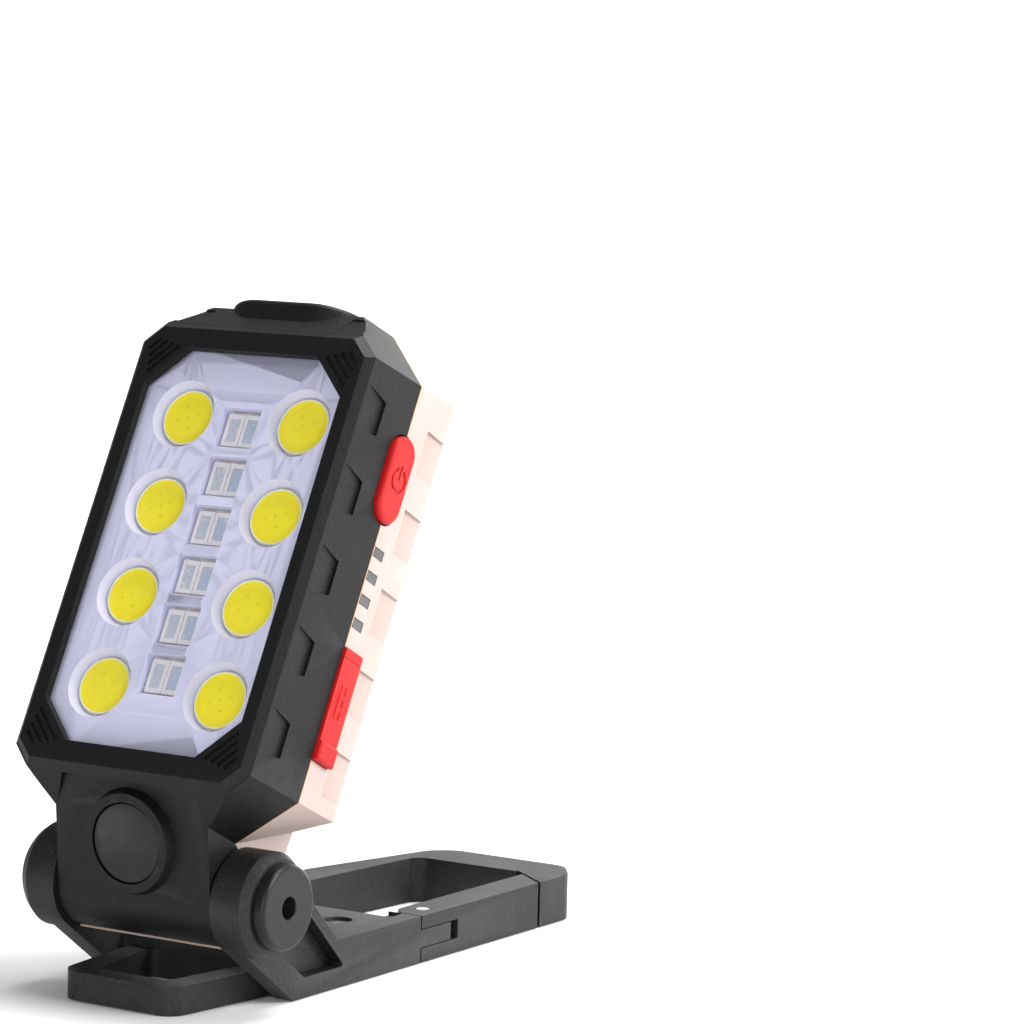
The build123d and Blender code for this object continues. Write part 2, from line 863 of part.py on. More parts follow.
with BuildPart() as power_button:
    with BuildSketch(side_plane.offset(button_back)):
        with Locations((button_v, button_n)):
            SlotOverall(button_l + 2 * button_flange, button_w + 2 * button_flange)
    extrude(amount=button_flange_t)
    with BuildSketch(side_plane.offset(button_back)):
        with Locations((button_v, button_n)):
            SlotOverall(button_l, button_w)
    extrude(amount=button_out - button_back)
    fillet(power_button.faces().sort_by(Axis.X)[-1].edges(), radius=button_edge)
    # Standby sign: a broken ring with a bar in its gap
    with BuildSketch(side_plane.offset(button_out)):
        with Locations((button_v, button_n)):
            Circle(sign_r)
            Circle(sign_r - sign_line, mode=Mode.SUBTRACT)
            Rectangle(2 * sign_r, sign_gap, align=(Align.MIN, Align.CENTER), mode=Mode.SUBTRACT)
            Rectangle(sign_bar, sign_line, align=(Align.MIN, Align.CENTER))
    extrude(amount=-sign_depth, mode=Mode.SUBTRACT)
save(power_button, "power_button")

with BuildPart() as indicator_leds:
    with BuildSketch(side_plane.offset(control_face)):
        for step in range(charge_count):
            with Locations((charge_first + step * charge_pitch, charge_n)):
                Rectangle(indicator_l, indicator_w)
    extrude(amount=indicator_t)
save(indicator_leds, "indicator_leds")

with BuildPart() as charge_windows:
    bar_middle = charge_first + charge_pitch * (charge_count - 1) / 2
    with BuildSketch(side_plane.offset(flange_x - charge_bar_t)):
        with Locations((bar_middle, charge_n)):
            Rectangle(charge_pitch * charge_count, charge_w + 2 * charge_bar_rim)
    extrude(amount=charge_bar_t)
    with BuildSketch(side_plane.offset(flange_x)):
        for step in range(charge_count):
            with Locations((charge_first + step * charge_pitch, charge_n)):
                Rectangle(charge_l - 2 * charge_gap, charge_w - 2 * charge_gap)
    extrude(amount=rear_half_w + charge_proud - flange_x)
save(charge_windows, "charge_windows")

with BuildPart() as charging_socket:
    with BuildSketch(side_plane.offset(control_face)):
        with Locations((port_v, port_n)):
            RectangleRounded(socket_l, socket_w, socket_corner)
    extrude(amount=socket_reach - control_face)
    with BuildSketch(side_plane.offset(socket_reach)):
        with Locations((port_v, port_n)):
            bore_corner = socket_corner - socket_wall + 0.1
            RectangleRounded(socket_l - 2 * socket_wall, socket_w - 2 * socket_wall, bore_corner)
            Rectangle(tongue_plate_l, tongue_plate_t, mode=Mode.SUBTRACT)
    extrude(amount=socket_floor - (socket_reach - control_face), mode=Mode.SUBTRACT)
save(charging_socket, "charging_socket")

# ---- Soft port cover: a flap that folds off a fixed anchor ----
with BuildPart() as port_cover:
    flap_top = fold_v - fold_gap
    with BuildSketch(side_plane.offset(flap_back)):
        with Locations((flap_low, flap_n)):
            Rectangle(flap_top - flap_low, flap_w, align=(Align.MIN, Align.CENTER))
    extrude(amount=flap_out - flap_back)
    with BuildSketch(side_plane.offset(flap_back)):
        with Locations((flap_low, flap_n)):
            Rectangle(flap_tab_l, flap_w, align=(Align.MIN, Align.CENTER))
    extrude(amount=flap_tab_out - flap_back)
    fillet(port_cover.faces().sort_by(Axis.X)[-1].edges(), radius=flap_tab_edge)
    with BuildSketch(side_plane.offset(flap_back)):
        with Locations((port_v, port_n)):
            RectangleRounded(plug_l, plug_w, plug_corner)
    extrude(amount=-plug_depth)
    # Direct-current sign: a bar over three dashes
    with BuildSketch(side_plane.offset(flap_out)):
        sign_v = (flap_low + flap_tab_l + fold_v) / 2
        with Locations((sign_v, flap_n + dc_half_gap)):
            Rectangle(dc_bar, sign_line)
        with Locations(*[(sign_v + dc_dash_pitch * i, flap_n - dc_half_gap) for i in (-1, 0, 1)]):
            Rectangle(dc_dash, sign_line)
    extrude(amount=dc_height)
save(port_cover, "port_cover")

with BuildPart() as port_cover_anchor:
    with BuildSketch(side_plane.offset(flap_back)):
        with Locations((fold_v + anchor_l / 2, flap_n)):
            Rectangle(anchor_l, flap_w)
    extrude(amount=flap_out - flap_back)
    with BuildSketch(side_plane.offset(flap_back)):
        with Locations((fold_v + anchor_l / 2, flap_n)):
            Circle(anchor_peg_r - fold_gap)
    extrude(amount=side_wall - flap_floor - 1)
save(port_cover_anchor, "port_cover_anchor")

# ---- Badge disc ----
with BuildPart() as neck_badge:
    with BuildSketch(neck_plane.offset(badge_ring_h - badge_t - badge_sunk)):
        with Locations((0, badge_v / cos(neck_tilt))):
            Circle(badge_r)
    extrude(amount=badge_t)
save(neck_badge, "neck_badge")

# ---- Screws that close the head from behind ----
with BuildPart() as shell_screws:
    with BuildSketch(lens_plane.offset(rear_n + screw_sunk)):
        with Locations(*screw_spots):
            Circle(screw_head_r)
    extrude(amount=screw_head_h)
    with BuildSketch(lens_plane.offset(rear_n + screw_sunk + screw_head_h)):
        with Locations(*screw_spots):
            Circle(screw_r)
    extrude(amount=seam_n + screw_reach - 1 - rear_n - screw_sunk - screw_head_h)
    with BuildSketch(lens_plane.offset(rear_n + screw_sunk)):
        with Locations(*screw_spots):
            Rectangle(screw_slot_l, screw_slot_w)
            Rectangle(screw_slot_w, screw_slot_l)
    extrude(amount=screw_slot_depth, mode=Mode.SUBTRACT)
save(shell_screws, "shell_screws")

# ---- Hinge hardware ----
with BuildPart() as neck_bushes:
    for side in (1, -1):
        with BuildSketch(side_plane.offset(side * half_neck)):
            Circle(bush_r)
            Circle(bolt_r + running, mode=Mode.SUBTRACT)
        extrude(amount=-side * bush_len)
save(neck_bushes, "neck_bushes")

with BuildPart() as hinge_washers:
    for side in (1, -1):
        with BuildSketch(arm_plane.offset(side * half_neck)):
            Circle(washer_r)
            Circle(bolt_r + running, mode=Mode.SUBTRACT)
        extrude(amount=side * washer_t)
save(hinge_washers, "hinge_washers")

with BuildPart() as hinge_bolt:
    with BuildSketch(arm_plane.offset(-ear_out + bolt_end_gap)):
        Circle(bolt_r)
    extrude(amount=ear_out - bolt_end_gap + half_foot)
    with BuildSketch(arm_plane.offset(half_foot)):
        Circle(bolt_head_r)
    extrude(amount=bolt_head_h)
    with BuildSketch(arm_plane.offset(half_foot + bolt_head_h)):
        RegularPolygon(hex_key / 2, 6, major_radius=False)
    extrude(amount=-key_depth, mode=Mode.SUBTRACT)
save(hinge_bolt, "hinge_bolt")

with BuildPart() as hinge_nut:
    with BuildSketch(arm_plane.offset(-half_foot)):
        RegularPolygon(nut_flats / 2, 6, major_radius=False)
        Circle(bolt_r, mode=Mode.SUBTRACT)
    extrude(amount=-bolt_head_h)
save(hinge_nut, "hinge_nut")

for name, side, cap_t in (("pivot_cap_left", -1, left_cap_t), ("pivot_cap_right", 1, right_cap_t)):
    with BuildPart() as pivot_cap:
        with BuildSketch(arm_plane.offset(side * ear_out)):
            Circle(cap_r)
        extrude(amount=side * cap_t)
        outer_face = pivot_cap.faces().sort_by(Axis.X)[-1 if side > 0 else 0]
        fillet(outer_face.edges(), radius=min(cap_edge, 0.6 * cap_t))
        with BuildSketch(arm_plane.offset(side * (ear_out - cap_spigot))):
            Circle(counterbore_r - loose)
        extrude(amount=side * cap_spigot)
        with BuildSketch(arm_plane.offset(side * (ear_out - cap_spigot))):
            Circle(cap_hole_r)
        extrude(amount=side * (cap_t + cap_spigot), mode=Mode.SUBTRACT)
    save(pivot_cap, name)

# ---- Foot ----
hook_outer = [
    (-half_foot, deck_front),
    (half_foot, deck_front),
    (half_foot, nose_start),
    (half_foot - nose_w, hook_back),
    (-half_foot + tail_w, hook_back),
    (-half_foot + taper_w, hook_back - tail_l),
    (-half_foot, taper_start),
]
hook_inner = [
    (-rail_in, deck_back),
    (rail_in, deck_back),
    (rail_in, hook_back - hook_bar),
    (-rail_in + 2, hook_back - hook_bar),
    (-rail_in, taper_start - 6),
]
loop_outer = [
    (-loop_back_w / 2, deck_front + 4),
    (-loop_back_w / 2, deck_front),
    (-loop_front_w / 2, loop_front),
    (loop_front_w / 2, loop_front),
    (loop_back_w / 2, deck_front),
    (loop_back_w / 2, deck_front + 4),
]
loop_inner = [
    (-loop_back_w / 2 + loop_rim, deck_front),
    (-loop_front_w / 2 + loop_rim, loop_front + loop_rim),
    (loop_front_w / 2 - loop_rim, loop_front + loop_rim),
    (loop_back_w / 2 - loop_rim, deck_front),
]


def arm_profile(front_reach, rear_reach, floor, toe):
    """Side outline of an arm whose two edges pass the pivot at the given distances."""
    front_angle = radians(arm_front_slope)
    rear_angle = radians(arm_rear_slope)
    front = (-front_reach * sin(front_angle), -front_reach * cos(front_angle))
    rear = (rear_reach * sin(rear_angle), rear_reach * cos(rear_angle))
    front_end = front[0] + (front[1] - floor) / tan(front_angle)
    rear_end = rear[0] + (rear[1] - floor - toe) / tan(rear_angle)
    return [(0, 0), front, (front_end, floor), (rear_end, floor), (rear_end, floor + toe), rear]


arm_outline = arm_profile(ear_r, ear_r, -hinge_z, arm_toe)
pocket_outline = arm_profile(ear_r - arm_front_rib, ear_r - arm_rear_rib, arm_ledge - hinge_z, 0.5)

with BuildPart() as base_bracket:
    with BuildSketch():
        with BuildSketch(mode=Mode.PRIVATE) as outer:
            Polygon(*hook_outer, align=None)
            fillet(outer.vertices().filter_by(lambda v: v.Y > nose_start - 1), radius=hook_corner)
        with BuildSketch(mode=Mode.PRIVATE) as inner:
            Polygon(*hook_inner, align=None)
            fillet(inner.vertices().group_by(Axis.Y)[-1], radius=hook_inner_corner)
        add(outer.sketch)
        add(inner.sketch, mode=Mode.SUBTRACT)
    extrude(amount=foot_h)
    with BuildSketch(Plane.XY.offset(deck_h)):
        with Locations((0, deck_front - 1)):
            Rectangle(2 * arm_in, deck_back - deck_front + 2, align=(Align.CENTER, Align.MIN))
    extrude(amount=foot_h, mode=Mode.SUBTRACT)
    # Arms with ears
    for side in (1, -1):
        with BuildSketch(arm_plane.offset(side * arm_in)):
            Polygon(*arm_outline, align=None)
            Circle(ear_r)
        extrude(amount=side * arm_t)
        with BuildSketch(arm_plane.offset(side * arm_in)):
            Circle(ear_r)
        extrude(amount=side * ear_t)
        with BuildSketch(arm_plane.offset(side * (arm_in + ear_t))):
            Circle(ear_r)
        with BuildSketch(arm_plane.offset(side * ear_out)):
            Circle(cap_r + cap_land)
        loft()
    # Pocket in each arm's outer face, between its ribs
    for side in (1, -1):
        with BuildSketch(arm_plane.offset(side * (arm_in + arm_t))):
            with BuildSketch(mode=Mode.PRIVATE) as pocket:
                Polygon(*pocket_outline, align=None)
                Circle(ear_r + arm_ear_gap, mode=Mode.SUBTRACT)
            add(pocket.sketch)
        extrude(amount=-side * arm_pocket_depth, mode=Mode.SUBTRACT)
    # Front hanging loop
    with BuildSketch():
        with BuildSketch(mode=Mode.PRIVATE) as rim:
            Polygon(*loop_outer, align=None)
            fillet(rim.vertices().group_by(Axis.Y)[0], radius=loop_corner)
        with BuildSketch(mode=Mode.PRIVATE) as gap:
            Polygon(*loop_inner, align=None)
            fillet(gap.vertices(), radius=loop_inner_corner)
        add(rim.sketch)
        add(gap.sketch, mode=Mode.SUBTRACT)
    extrude(amount=loop_h)
    # Hinge bolt holes
    with BuildSketch(arm_plane):
        Circle(bolt_r + running)
    extrude(amount=half_foot + 10, both=True, mode=Mode.SUBTRACT)
    for side in (1, -1):
        with BuildSketch(arm_plane.offset(side * half_foot)):
            Circle(counterbore_r)
        extrude(amount=side * 10, mode=Mode.SUBTRACT)
    # Magnet pockets, open below, with a small window above each
    with BuildSketch():
        with GridLocations(magnet_spacing, 0, 2, 1):
            Circle(magnet_r + running)
    extrude(amount=magnet_lift + magnet_h + running, mode=Mode.SUBTRACT)
    with BuildSketch():
        with GridLocations(magnet_spacing, 0, 2, 1):
            Circle(magnet_window_r)
    extrude(amount=foot_h, mode=Mode.SUBTRACT)
    # Gate opening, with the tongue that carries the gate pin
    slant_inner = gate_end + rail_w * gate_slant
    with BuildSketch():
        gate_opening = [
            (rail_in - 2, gate_start - free),
            (half_foot + 1, gate_start - free),
            (half_foot + 1, gate_end - gate_slant + free),
            (rail_in - 2, slant_inner + 2 * gate_slant + free),
        ]
        Polygon(*gate_opening, align=None)
    extrude(amount=foot_h, mode=Mode.SUBTRACT)
    with BuildSketch(Plane.XY.offset(tongue_low)):
        with BuildSketch(mode=Mode.PRIVATE) as tongue:
            with Locations((half_foot, gate_start - 1)):
                Rectangle(rail_w, tongue_reach + 1, align=(Align.MAX, Align.MIN))
            fillet(tongue.vertices().group_by(Axis.Y)[-1], radius=tongue_corner)
        add(tongue.sketch)
    extrude(amount=tongue_h)
    with BuildSketch(Plane.XY.offset(tongue_low)):
        with Locations((gate_pin_x, gate_pin_y)):
            Circle(spring_r + spring_wire + loose)
    extrude(amount=tongue_h, mode=Mode.SUBTRACT)
save(base_bracket, "base_bracket")

with BuildPart() as base_magnets:
    with BuildSketch(Plane.XY.offset(magnet_lift)):
        with GridLocations(magnet_spacing, 0, 2, 1):
            Circle(magnet_r)
    extrude(amount=magnet_h)
    chamfer(base_magnets.edges().filter_by(GeomType.CIRCLE), length=magnet_chamfer)
save(base_magnets, "base_magnets")

# ---- Snap hook gate ----
with BuildPart() as hook_gate:
    with BuildSketch():
        with BuildSketch(mode=Mode.PRIVATE) as gate_plan:
            gate_points = [
                (rail_in, gate_start),
                (half_foot, gate_start),
                (half_foot, gate_end - free),
                (rail_in, slant_inner - free),
            ]
            Polygon(*gate_points, align=None)
            fillet(gate_plan.vertices().sort_by(Axis.Y)[0:2].sort_by(Axis.X)[0], radius=rail_w / 2)
        add(gate_plan.sketch)
    extrude(amount=foot_h)
    # Fork that straddles the tongue
    with BuildSketch(Plane.XY.offset(tongue_low - free / 2)):
        with Locations((rail_in - 1, gate_start - 1)):
            Rectangle(rail_w + 2, tongue_reach + 2.8, align=(Align.MIN, Align.MIN))
    extrude(amount=tongue_h + free, mode=Mode.SUBTRACT)
    with BuildSketch():
        with Locations((gate_pin_x, gate_pin_y)):
            Circle(gate_pin_r + running)
    extrude(amount=foot_h, mode=Mode.SUBTRACT)
save(hook_gate, "hook_gate")

with BuildPart() as gate_pin:
    with BuildSketch(Plane.XY.offset(gate_pin_floor)):
        with Locations((gate_pin_x, gate_pin_y)):
            Circle(gate_pin_r)
    extrude(amount=foot_h - gate_pin_floor)
save(gate_pin, "gate_pin")

with BuildPart() as gate_spring:
    wire_r = spring_wire / 2
    for turn in range(spring_turns):
        height = tongue_low + spring_foot + turn * spring_pitch
        with Locations((gate_pin_x, gate_pin_y, height)):
            Torus(spring_r, wire_r)
save(gate_spring, "gate_spring")
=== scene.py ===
import math

import bmesh
import bpy
from mathutils import Matrix, Vector


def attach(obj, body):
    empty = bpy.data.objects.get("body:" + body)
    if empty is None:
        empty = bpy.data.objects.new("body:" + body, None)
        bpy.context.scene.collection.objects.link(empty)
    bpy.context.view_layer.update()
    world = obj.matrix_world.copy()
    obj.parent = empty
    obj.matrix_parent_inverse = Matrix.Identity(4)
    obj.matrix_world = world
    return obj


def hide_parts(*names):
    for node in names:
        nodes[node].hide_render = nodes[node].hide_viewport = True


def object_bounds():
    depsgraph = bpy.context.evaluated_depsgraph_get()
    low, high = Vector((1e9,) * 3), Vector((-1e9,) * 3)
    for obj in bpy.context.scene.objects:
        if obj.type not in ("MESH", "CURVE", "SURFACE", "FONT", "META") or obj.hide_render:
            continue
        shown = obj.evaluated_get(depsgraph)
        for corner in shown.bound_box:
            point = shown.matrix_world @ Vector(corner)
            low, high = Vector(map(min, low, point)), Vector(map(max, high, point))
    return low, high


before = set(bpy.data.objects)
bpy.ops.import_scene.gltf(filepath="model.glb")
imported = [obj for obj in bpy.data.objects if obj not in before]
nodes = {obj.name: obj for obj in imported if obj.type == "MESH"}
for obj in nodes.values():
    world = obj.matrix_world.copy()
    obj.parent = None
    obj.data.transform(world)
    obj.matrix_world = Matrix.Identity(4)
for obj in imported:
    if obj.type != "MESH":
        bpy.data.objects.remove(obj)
cad_low, cad_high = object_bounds()

# The bench: a plain pale top that curves up behind the light.
# Smooth painted board, lit softly from the button side and from above.
bench_depth = 0.9
bench_rise = 0.5
bench_bend = 0.25
bench_points = [(-bench_depth, 0.0)]
for step in range(13):
    turn = math.radians(90 * step / 12)
    bench_points.append(
        (bench_depth - bench_bend + bench_bend * math.sin(turn), bench_bend * (1 - math.cos(turn)))
    )
bench_points.append((bench_depth, bench_rise))
bench_mesh = bpy.data.meshes.new("bench")
bench_verts = [(x, y, z) for x in (-1.4, 1.4) for y, z in bench_points]
across = len(bench_points)
bench_faces = [(i, i + across, i + across + 1, i + 1) for i in range(across - 1)]
bench_mesh.from_pydata(bench_verts, [], bench_faces)
bench = bpy.data.objects.new("bench", bench_mesh)
bpy.context.scene.collection.objects.link(bench)
bench.location.z = cad_low.z - 0.0002
for face in bench_mesh.polygons:
    face.use_smooth = True
bench_paint = bpy.data.materials.new("bench_paint")
bench_paint.use_nodes = True
paint_shader = bench_paint.node_tree.nodes["Principled BSDF"]
paint_shader.inputs["Base Color"].default_value = (0.9, 0.9, 0.91, 1)
paint_shader.inputs["Roughness"].default_value = 0.7
bench_mesh.materials.append(bench_paint)

# Soft studio light: a pale room, one broad panel at the button side,
# one overhead, and one low in front that fills the lens side.
room = bpy.data.worlds.new("room")
room.use_nodes = True
room.node_tree.nodes["Background"].inputs["Color"].default_value = (1.0, 1.0, 1.0, 1)
room.node_tree.nodes["Background"].inputs["Strength"].default_value = 0.25
bpy.context.scene.world = room
bpy.context.scene.view_settings.view_transform = "Standard"


def light_panel(name, place, aim, width, power):
    """Hang one soft square panel and turn it towards a point."""
    lamp = bpy.data.lights.new(name, "AREA")
    lamp.shape = "SQUARE"
    lamp.size = width
    lamp.energy = power
    panel = bpy.data.objects.new(name, lamp)
    panel.location = place
    panel.rotation_mode = "QUATERNION"
    panel.rotation_quaternion = (Vector(aim) - Vector(place)).to_track_quat("-Z", "Y")
    bpy.context.scene.collection.objects.link(panel)


light_panel("side_panel", (0.55, 0.12, 0.35), (0, 0, 0.04), 0.35, 4.6)
light_panel("top_panel", (0.05, 0.2, 0.68), (0, 0, 0.04), 0.4, 4.8)
light_panel("lens_panel", (0.25, -0.7, 0.12), (0, 0, 0.05), 0.6, 3.0)
light_panel("bench_panel", (-0.15, 0.35, 0.5), (-0.15, 0.9, 0.2), 0.6, 11.0)

# The camera: a long lens from the front right, a little above the bench.
camera_data = bpy.data.cameras.new("camera")
camera_data.lens = 144.6
camera_data.sensor_width = 36.0
camera = bpy.data.objects.new("camera", camera_data)
camera_right = Vector((0.84194, 0.53899, 0.02485))
camera_up = Vector((-0.07796, 0.07596, 0.99406))
camera_back = Vector((0.53390, -0.83888, 0.10597))
turned = Matrix((camera_right, camera_up, camera_back)).transposed().to_4x4()
camera.matrix_world = Matrix.Translation((0.35839, -0.50506, 0.13497)) @ turned
bpy.context.scene.collection.objects.link(camera)
bpy.context.scene.camera = camera


# Foot and snap gate: two mouldings in black glass-filled nylon, with an etched
# grain all over and edges that hands and steel rails have rubbed a little grey.
same_point = 2e-6
flat_within = math.radians(0.6)


def weld_seams(piece):
    """Join the points that the faces of a moulding share along their edges."""
    weld = piece.modifiers.new("weld", "WELD")
    weld.merge_threshold = same_point


def even_faces(piece):
    """Shade every broad face flat and carry the turn in the narrow faces beside it."""
    even = piece.modifiers.new("even", "WEIGHTED_NORMAL")
    even.weight = 100
    even.keep_sharp = True


def edge_break(node_name, width, angle=24):
    """Round a moulding's sharp edges by one small radius, as the tool leaves them."""
    piece = nodes[node_name]
    weld_seams(piece)
    flat = piece.modifiers.new("flat", "DECIMATE")
    flat.decimate_type = "DISSOLVE"
    flat.angle_limit = flat_within
    rounding = piece.modifiers.new("rounding", "BEVEL")
    rounding.width = width
    rounding.segments = 3
    rounding.limit_method = "ANGLE"
    rounding.angle_limit = math.radians(angle)
    rounding.use_clamp_overlap = True
    for face in piece.data.polygons:
        face.use_smooth = True
    even_faces(piece)


def named_group(name, inputs, outputs):
    """Start a shader group with its sockets: (name, kind, default) and (name, kind)."""
    tree = bpy.data.node_groups.new(name, "ShaderNodeTree")
    for label, kind, value in inputs:
        socket = tree.interface.new_socket(label, in_out="INPUT", socket_type=kind)
        socket.default_value = value
    for label, kind in outputs:
        tree.interface.new_socket(label, in_out="OUTPUT", socket_type=kind)
    return tree, tree.nodes.new("NodeGroupInput"), tree.nodes.new("NodeGroupOutput")


def object_mm(tree):
    """Place on the piece in millimetres, which stays with the piece as it moves."""
    place = tree.nodes.new("ShaderNodeTexCoord")
    to_mm = tree.nodes.new("ShaderNodeVectorMath")
    to_mm.operation = "SCALE"
    to_mm.inputs["Scale"].default_value = 1000
    tree.links.new(place.outputs["Object"], to_mm.inputs[0])
    return to_mm.outputs[0]


def moulded_grain():
    """Etched plastic grain: fine pits, and slow blotches where the etch took less."""
    tree, given, out = named_group(
        "moulded_grain",
        [("Pits per mm", "NodeSocketFloat", 2.5), ("Blotches per mm", "NodeSocketFloat", 0.08)],
        [("Height", "NodeSocketFloat"), ("Blotch", "NodeSocketFloat"), ("Speck", "NodeSocketFloat")],
    )
    place = object_mm(tree)
    pits = tree.nodes.new("ShaderNodeTexNoise")
    pits.inputs["Detail"].default_value = 2.0
    pits.inputs["Roughness"].default_value = 0.55
    blotch = tree.nodes.new("ShaderNodeTexNoise")
    blotch.inputs["Detail"].default_value = 3.0
    speck = tree.nodes.new("ShaderNodeMapRange")
    speck.inputs["From Min"].default_value = 0.58
    speck.inputs["From Max"].default_value = 0.72
    tree.links.new(place, pits.inputs["Vector"])
    tree.links.new(place, blotch.inputs["Vector"])
    tree.links.new(given.outputs["Pits per mm"], pits.inputs["Scale"])
    tree.links.new(given.outputs["Blotches per mm"], blotch.inputs["Scale"])
    tree.links.new(pits.outputs["Fac"], speck.inputs["Value"])
    tree.links.new(pits.outputs["Fac"], out.inputs["Height"])
    tree.links.new(blotch.outputs["Fac"], out.inputs["Blotch"])
    tree.links.new(speck.outputs["Result"], out.inputs["Speck"])
    return tree


def rubbed_and_shaded():
    """Masks of the outer edges that hands rub, broken up, and of the inner corners, where shade is painted
    in.
    """
    tree, given, out = named_group(
        "rubbed_and_shaded",
        [("Edge start", "NodeSocketFloat", 0.52), ("Edge full", "NodeSocketFloat", 0.64)],
        [("Edge", "NodeSocketFloat"), ("Corner", "NodeSocketFloat")],
    )
    shape = tree.nodes.new("ShaderNodeNewGeometry")
    ramp = tree.nodes.new("ShaderNodeMapRange")
    inner = tree.nodes.new("ShaderNodeMapRange")
    inner.inputs["From Min"].default_value = 0.485
    inner.inputs["From Max"].default_value = 0.40
    speck = tree.nodes.new("ShaderNodeTexNoise")
    speck.inputs["Scale"].default_value = 0.42
    speck.inputs["Detail"].default_value = 4.0
    broken = tree.nodes.new("ShaderNodeMath")
    broken.operation = "MULTIPLY"
    tree.links.new(shape.outputs["Pointiness"], ramp.inputs["Value"])
    tree.links.new(shape.outputs["Pointiness"], inner.inputs["Value"])
    tree.links.new(given.outputs["Edge start"], ramp.inputs["From Min"])
    tree.links.new(given.outputs["Edge full"], ramp.inputs["From Max"])
    tree.links.new(object_mm(tree), speck.inputs["Vector"])
    tree.links.new(ramp.outputs["Result"], broken.inputs[0])
    tree.links.new(speck.outputs["Fac"], broken.inputs[1])
    tree.links.new(broken.outputs[0], out.inputs["Edge"])
    tree.links.new(inner.outputs["Result"], out.inputs["Corner"])
    return tree


grain_group = moulded_grain()
rub_group = rubbed_and_shaded()


def blend_colour(tree, amount, first, second):
    """Mix two colours, either of them a fixed colour or a node's output."""
    mix = tree.nodes.new("ShaderNodeMix")
    mix.data_type = "RGBA"
    tree.links.new(amount, mix.inputs["Factor"])
    for socket, colour in (("A", first), ("B", second)):
        if isinstance(colour, tuple):
            mix.inputs[socket].default_value = (*colour, 1)
        else:
            tree.links.new(colour, mix.inputs[socket])
    return mix.outputs["Result"]


def moulding(name, colour, rubbed, shaded, rough, pits, depth, specks=None, even=0.8, shine=0.5):
    """A moulded plastic: its colour, rubbed edges, painted shade in the inner corners, gloss range and grain.
    """
    material = bpy.data.materials.new(name)
    material.use_nodes = True
    tree = material.node_tree
    shader = tree.nodes["Principled BSDF"]
    grain = tree.nodes.new("ShaderNodeGroup")
    grain.node_tree = grain_group
    grain.inputs["Pits per mm"].default_value = pits
    rub = tree.nodes.new("ShaderNodeGroup")
    rub.node_tree = rub_group
    darker = tuple(even * part for part in colour)
    shader.inputs["Specular IOR Level"].default_value = shine
    tone = blend_colour(tree, grain.outputs["Blotch"], colour, darker)
    # Painted shade: the inner corners are darkened to the shaded colour.
    tone = blend_colour(tree, rub.outputs["Corner"], tone, shaded)
    tone = blend_colour(tree, rub.outputs["Edge"], tone, rubbed)
    if specks:
        tone = blend_colour(tree, grain.outputs["Speck"], tone, specks)
    tree.links.new(tone, shader.inputs["Base Color"])
    polish = tree.nodes.new("ShaderNodeMapRange")
    polish.inputs["To Min"].default_value = rough[0]
    polish.inputs["To Max"].default_value = rough[1]
    tree.links.new(grain.outputs["Blotch"], polish.inputs["Value"])
    tree.links.new(polish.outputs["Result"], shader.inputs["Roughness"])
    bump = tree.nodes.new("ShaderNodeBump")
    bump.inputs["Strength"].default_value = depth
    bump.inputs["Distance"].default_value = 0.0001
    tree.links.new(grain.outputs["Height"], bump.inputs["Height"])
    tree.links.new(bump.outputs["Normal"], shader.inputs["Normal"])
    return material


def finish_with(material, *names):
    """Give the named pieces this finish in every slot they have."""
    for name in names:
        mesh = nodes[name].data
        mesh.materials.clear()
        mesh.materials.append(material)


nylon = moulding(
    "black_nylon", (0.009, 0.009, 0.010), (0.045, 0.045, 0.047), (0.003, 0.003, 0.003),
    (0.42, 0.6), 3.0, 0.8, specks=(0.035, 0.035, 0.037), shine=0.38,
)
edge_break("base_bracket", 0.00045)
edge_break("hook_gate", 0.0004)
finish_with(nylon, "base_bracket", "hook_gate")

# Magnets: two nickel-plated neodymium discs, glued flush under the deck.
# The plating is bright, with the fine haze of marks that steel benches leave.
def fine_marks():
    """Short handling marks on bare metal: stretched noise laid two ways."""
    tree, given, out = named_group(
        "fine_marks",
        [("Marks per mm", "NodeSocketFloat", 3.0)],
        [("Marks", "NodeSocketFloat")],
    )
    both = tree.nodes.new("ShaderNodeMath")
    both.operation = "MULTIPLY"
    place = object_mm(tree)
    for index, stretch in enumerate(((1.0, 0.08, 0.3), (0.08, 1.0, 0.3))):
        pull = tree.nodes.new("ShaderNodeVectorMath")
        pull.operation = "MULTIPLY"
        pull.inputs[1].default_value = stretch
        marks = tree.nodes.new("ShaderNodeTexNoise")
        marks.inputs["Detail"].default_value = 3.0
        tree.links.new(place, pull.inputs[0])
        tree.links.new(pull.outputs[0], marks.inputs["Vector"])
        tree.links.new(given.outputs["Marks per mm"], marks.inputs["Scale"])
        tree.links.new(marks.outputs["Fac"], both.inputs[index])
    spread = tree.nodes.new("ShaderNodeMapRange")
    spread.inputs["From Min"].default_value = 0.15
    spread.inputs["From Max"].default_value = 0.38
    tree.links.new(both.outputs[0], spread.inputs["Value"])
    tree.links.new(spread.outputs["Result"], out.inputs["Marks"])
    return tree


marks_group = fine_marks()


